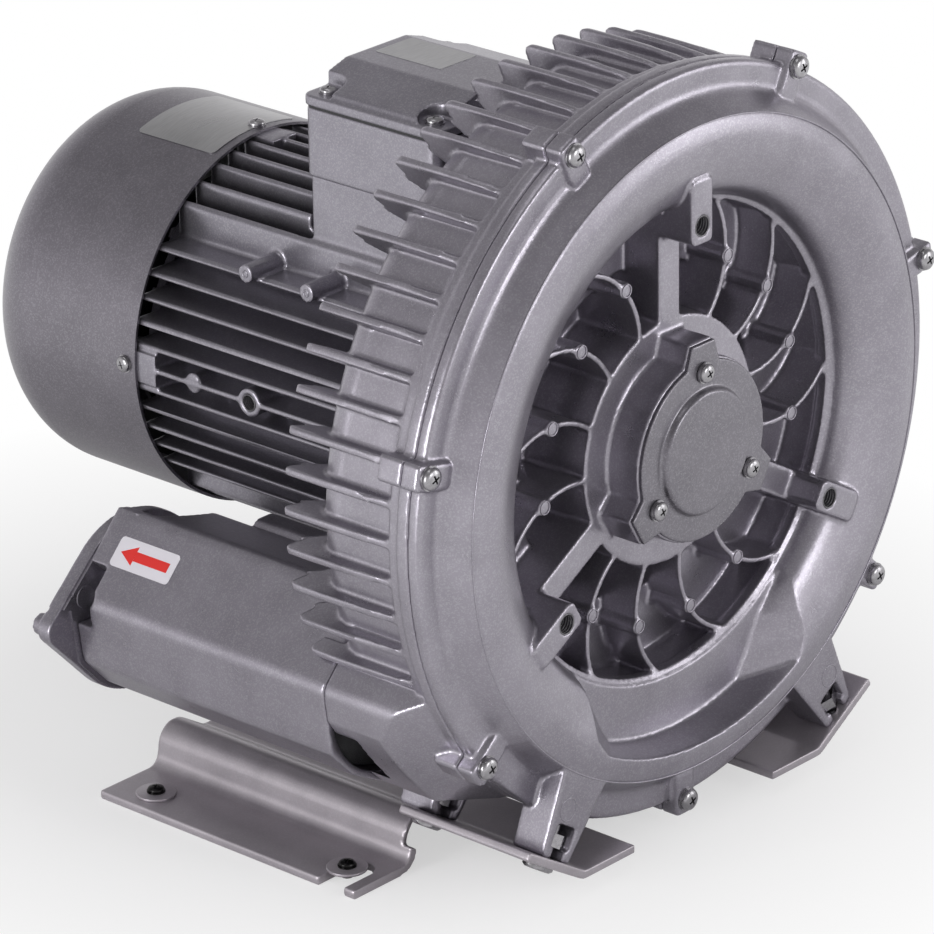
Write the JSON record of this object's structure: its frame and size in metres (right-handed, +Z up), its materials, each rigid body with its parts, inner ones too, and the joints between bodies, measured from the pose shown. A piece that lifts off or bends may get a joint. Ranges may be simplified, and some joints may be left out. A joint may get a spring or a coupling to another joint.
{
  "type": "side channel blower",
  "caption": "Side channel blower: a round two-part casing with ribbed front cover and cooling fins, fan-cooled motor, terminal box, two silencers with threaded ports and sheet foot brackets.",
  "frame": {"origin": "on the floor, halfway between the two rear foot holes", "axes": "+Z up; +Y along the shaft from the blower cover towards the motor's fan cowl, the way both ports open; +X to the right seen from the blower cover"},
  "size_m": [0.377, 0.3886, 0.384],
  "materials": {
    "cast_aluminium": "silver-grey metallic paint over cast aluminium",
    "motor_aluminium": "silver-grey metallic paint over extruded and cast aluminium",
    "cowl_paint": "silver-grey satin paint on drawn sheet steel",
    "bracket_paint": "silver-grey satin paint on pressed sheet steel",
    "cap_metal": "bright silver-grey paint",
    "zinc_steel": "bright zinc plate",
    "dark_steel": "machined steel",
    "bearing_steel": "ground and polished",
    "impeller_aluminium": "bare cast aluminium",
    "lamination": "stacked electrical sheet",
    "winding": "varnished copper wire",
    "gasket_rubber": "matte black",
    "fan_plastic": "black moulded",
    "block_plastic": "dark moulded",
    "plug_plastic": "black moulded",
    "foam": "open-cell sound foam",
    "tube_metal": "perforated sheet tube"
  },
  "bodies": {
    "blower": {"blower_cover": "cast_aluminium", "blower_housing": "cast_aluminium", "cover_gasket": "gasket_rubber", "lug_screws": "zinc_steel", "bearing_cap": "cap_metal", "cap_screws": "zinc_steel", "wave_spring": "dark_steel", "front_bearing_outer_race": "bearing_steel", "rear_bearing_outer_race": "bearing_steel", "shaft_seal": "gasket_rubber", "stator_core": "lamination", "stator_windings": "winding", "motor_casing": "motor_aluminium", "motor_bolts": "zinc_steel", "rear_end_shield": "motor_aluminium", "shield_screws": "zinc_steel", "fan_cowl": "cowl_paint", "cowl_screws": "zinc_steel", "terminal_box": "motor_aluminium", "terminal_box_gasket": "gasket_rubber", "terminal_box_lid": "motor_aluminium", "lid_screws": "zinc_steel", "terminal_block": "block_plastic", "cable_plugs": "plug_plastic", "silencer_left": "cast_aluminium", "silencer_right": "cast_aluminium", "port_gasket_left": "gasket_rubber", "port_gasket_right": "gasket_rubber", "port_flange_left": "cast_aluminium", "port_flange_right": "cast_aluminium", "sound_tube_left": "tube_metal", "sound_tube_right": "tube_metal", "foam_sleeve_left": "foam", "foam_sleeve_right": "foam", "foot_bracket_left": "bracket_paint", "foot_bracket_right": "bracket_paint", "silencer_bolts": "zinc_steel", "port_bolts": "zinc_steel", "leg_bolts": "zinc_steel", "leg_nuts": "zinc_steel"},
    "rotor": {"motor_shaft": "dark_steel", "impeller": "impeller_aluminium", "impeller_key": "dark_steel", "impeller_sleeve": "dark_steel", "rotor_core": "lamination", "cooling_fan": "fan_plastic", "fan_circlip": "dark_steel", "front_bearing_inner_race": "bearing_steel", "rear_bearing_inner_race": "bearing_steel"},
    "front_ball_set": {"front_bearing_balls": "bearing_steel"},
    "rear_ball_set": {"rear_bearing_balls": "bearing_steel"}
  },
  "joints": [
    {"name": "rotor_spin", "type": "hinge", "parent": "blower", "child": "rotor", "pos_m": [0, 0, 0.2], "axis": [0, 1, 0], "continuous": true},
    {"name": "front_balls_orbit", "type": "hinge", "parent": "blower", "child": "front_ball_set", "pos_m": [0, 0, 0.2], "axis": [0, 1, 0], "continuous": true},
    {"name": "rear_balls_orbit", "type": "hinge", "parent": "blower", "child": "rear_ball_set", "pos_m": [0, 0, 0.2], "axis": [0, 1, 0], "continuous": true}
  ],
  "couplings": [
    {"joint": "front_balls_orbit", "follows": "rotor_spin", "ratio": 0.39783},
    {"joint": "rear_balls_orbit", "follows": "rotor_spin", "ratio": 0.3987}
  ]
}
